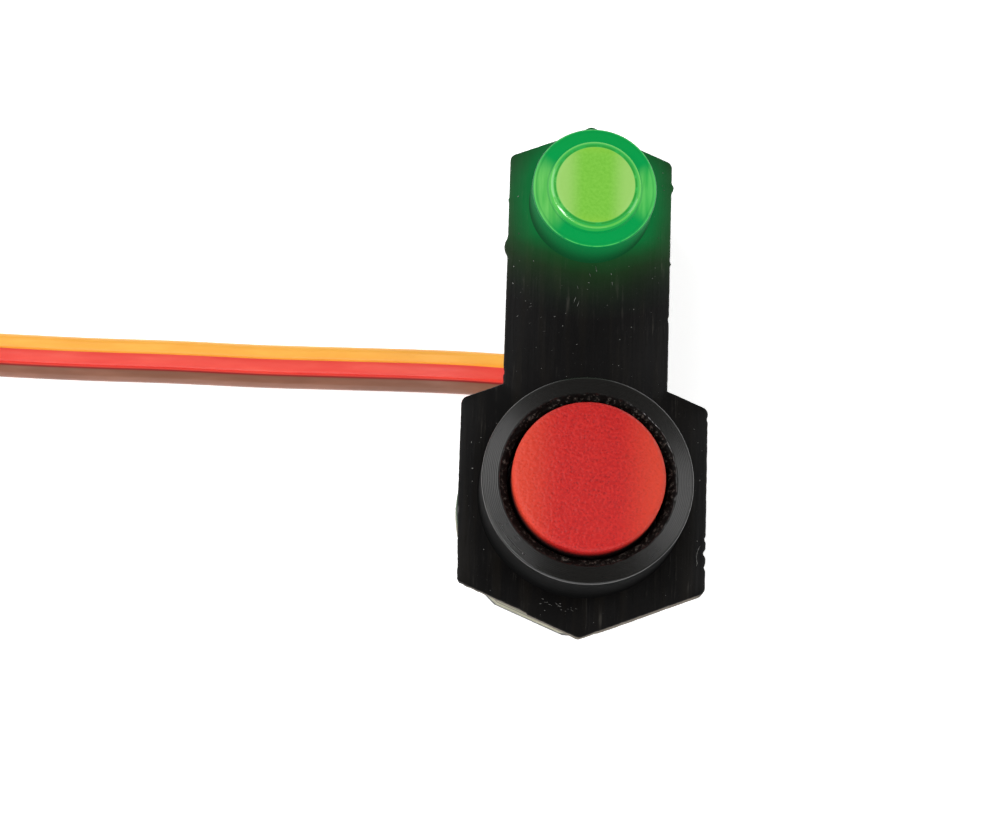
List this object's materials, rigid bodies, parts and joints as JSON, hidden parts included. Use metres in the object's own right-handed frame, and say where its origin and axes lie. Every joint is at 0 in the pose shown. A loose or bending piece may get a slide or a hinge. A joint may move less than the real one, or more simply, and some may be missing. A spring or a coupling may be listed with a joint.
{
  "type": "push-button control with indicator lamp",
  "caption": "Small black push-button control with a red round button, a lit green lamp on a bar above it, and a flat three-wire lead ending in a plug.",
  "frame": {"origin": "where the button's axis meets the rear cover's outer face, which rests on the table", "axes": "+Z out of the front plate along the button's axis, +Y from the button towards the lamp, +X to the right as seen from the front"},
  "size_m": [0.0962, 0.0567, 0.0166],
  "materials": {
    "housing_plastic": "black plastic with fine lengthwise machining marks and light dust",
    "board_laminate": "glass-fibre laminate with pale cut edges",
    "screw_steel": "plain steel countersunk cross-head",
    "cap_plastic": "red plastic with a fine spark-eroded grain",
    "switch_plastic": "black moulded plastic",
    "switch_steel": "thin pressed steel",
    "plated_metal": "tin-plated",
    "lens_plastic": "translucent green plastic, glossy, lit from inside",
    "led_resin": "clear tinted resin",
    "led_chip": "semiconductor chip",
    "resistor_ceramic": "glazed black ceramic",
    "capacitor_ceramic": "fired brown ceramic",
    "solder": "bright solder",
    "copper": "bare tinned copper strands",
    "lead_insulation": "soft glossy vinyl in orange, red and brown, side by side",
    "plug_plastic": "black moulded plastic",
    "contact_brass": "thin plated brass"
  },
  "bodies": {
    "housing": {"front_body": "housing_plastic", "rear_cover": "housing_plastic", "circuit_board": "board_laminate", "cover_screws": "screw_steel", "switch_cover": "switch_steel", "switch_base": "switch_plastic", "switch_terminals": "plated_metal", "contact_dome": "switch_steel", "led_lens": "lens_plastic", "lens_retainer": "switch_plastic", "led_body": "led_resin", "led_cathode": "plated_metal", "led_anode": "plated_metal", "led_chip": "led_chip", "chip_resistors": "resistor_ceramic", "chip_capacitor": "capacitor_ceramic", "solder_joints": "solder", "wire_cores": "copper", "lead_ribbon": "lead_insulation", "lead_coil": "lead_insulation", "lead_tail": "lead_insulation", "plug_housing": "plug_plastic", "plug_contacts": "contact_brass"},
    "button": {"button_cap": "cap_plastic", "switch_plunger": "switch_plastic"}
  },
  "joints": [
    {"name": "button_press", "type": "slide", "parent": "housing", "child": "button", "axis": [0, 0, -1], "range_m": [0, 0.0003], "stiffness_N_per_m": 3000, "springref_m": -0.0001, "deforming": ["contact_dome"]}
  ]
}
